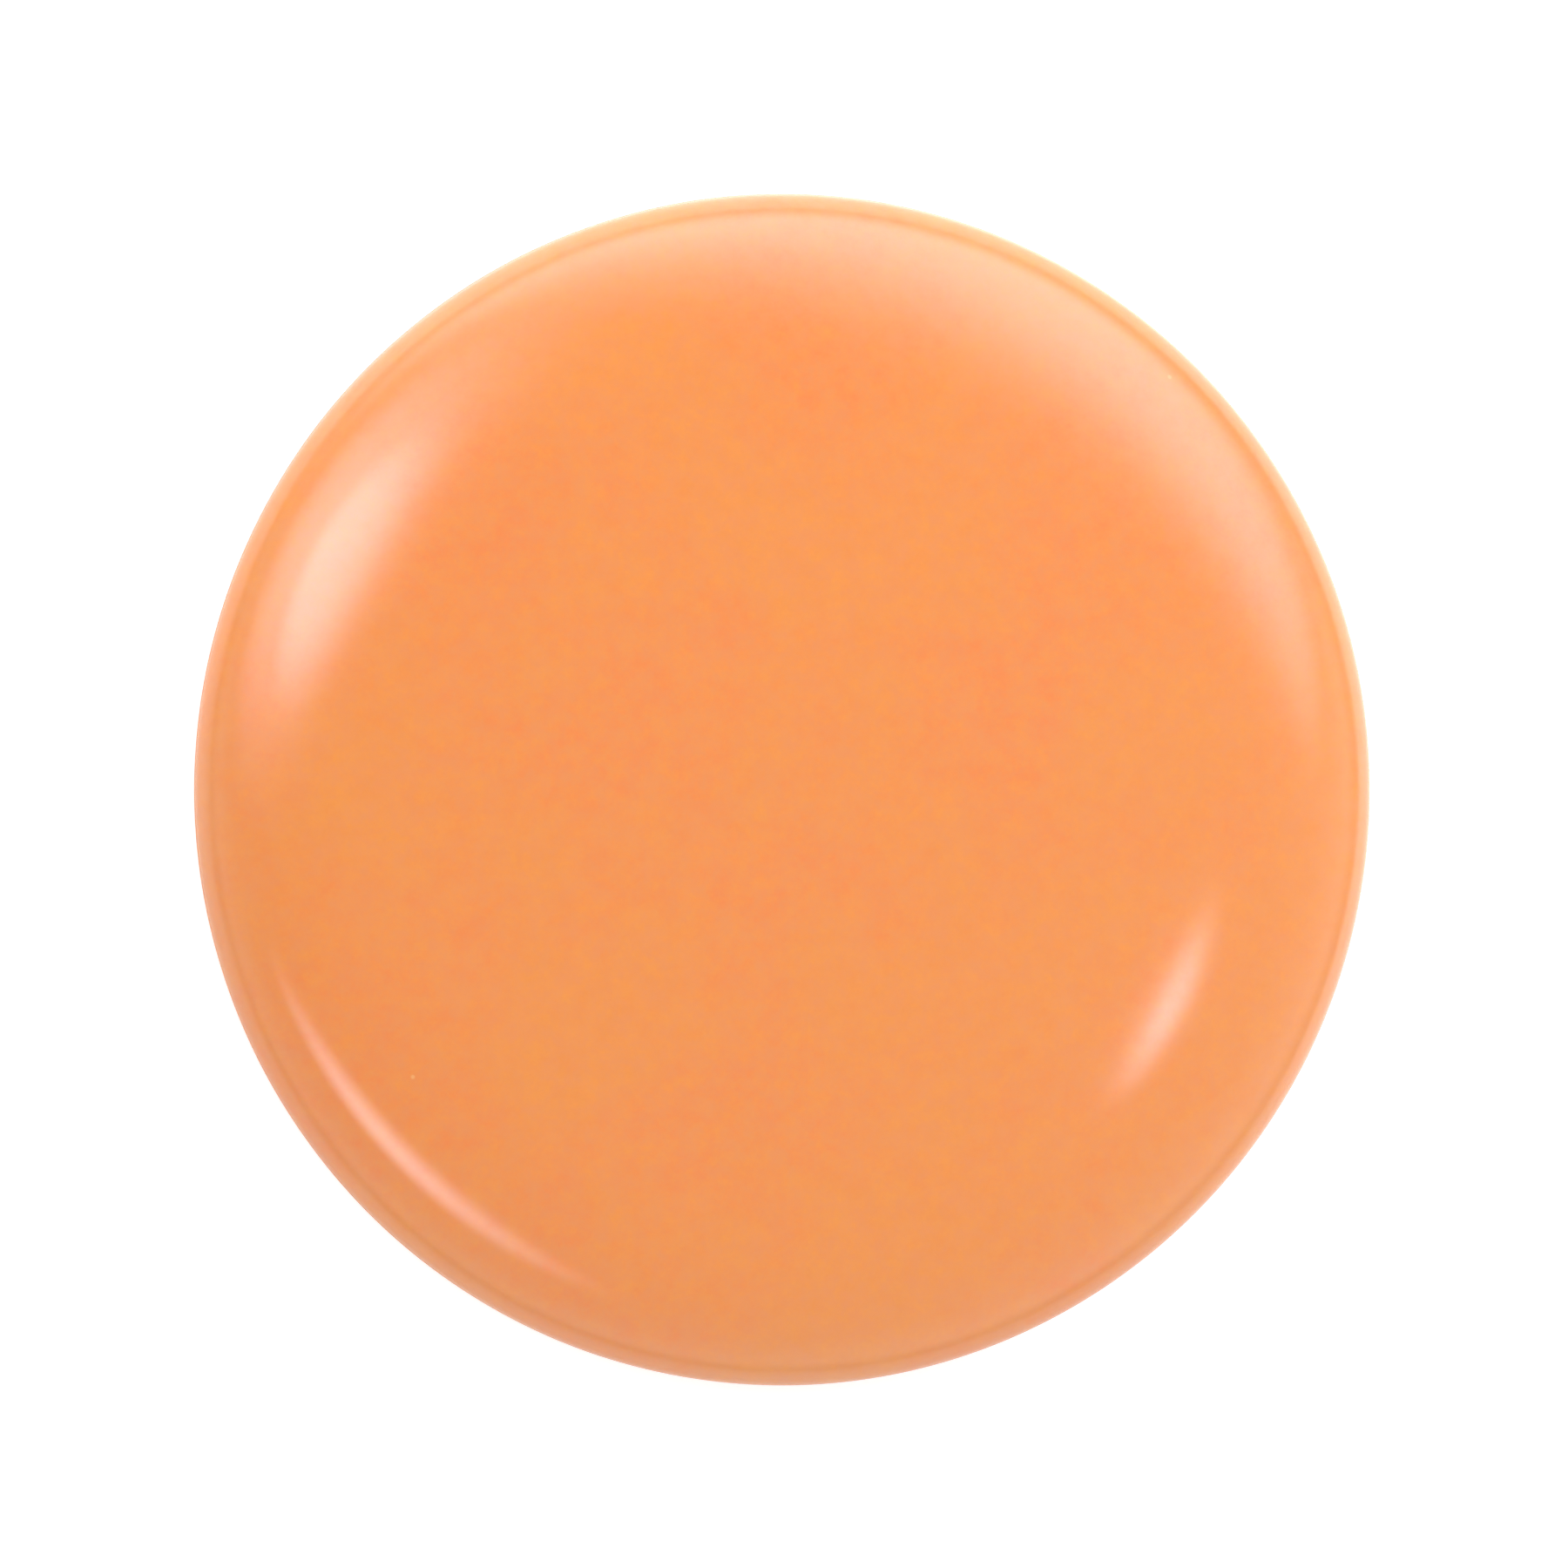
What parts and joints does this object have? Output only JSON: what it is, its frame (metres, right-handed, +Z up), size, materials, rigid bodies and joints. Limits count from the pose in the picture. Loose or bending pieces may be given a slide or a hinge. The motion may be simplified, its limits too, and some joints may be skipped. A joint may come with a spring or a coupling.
{
  "type": "flying disc",
  "caption": "Smooth domed flying disc with a deep rounded shoulder, a turned-in rim and an open hollow underneath, thrown and caught by hand.",
  "frame": {"origin": "under the middle of the disc, on the plane of the rim's foot that it lies on", "axes": "+Z up through the crown, along the axis the disc spins about; X and Y lie in the foot's plane and are interchangeable, because the disc is round"},
  "size_m": [0.274, 0.274, 0.032],
  "materials": {
    "disc_plastic": "gloss orange low-density polyethylene"
  },
  "bodies": {
    "root": {"disc": "disc_plastic"}
  },
  "joints": []
}
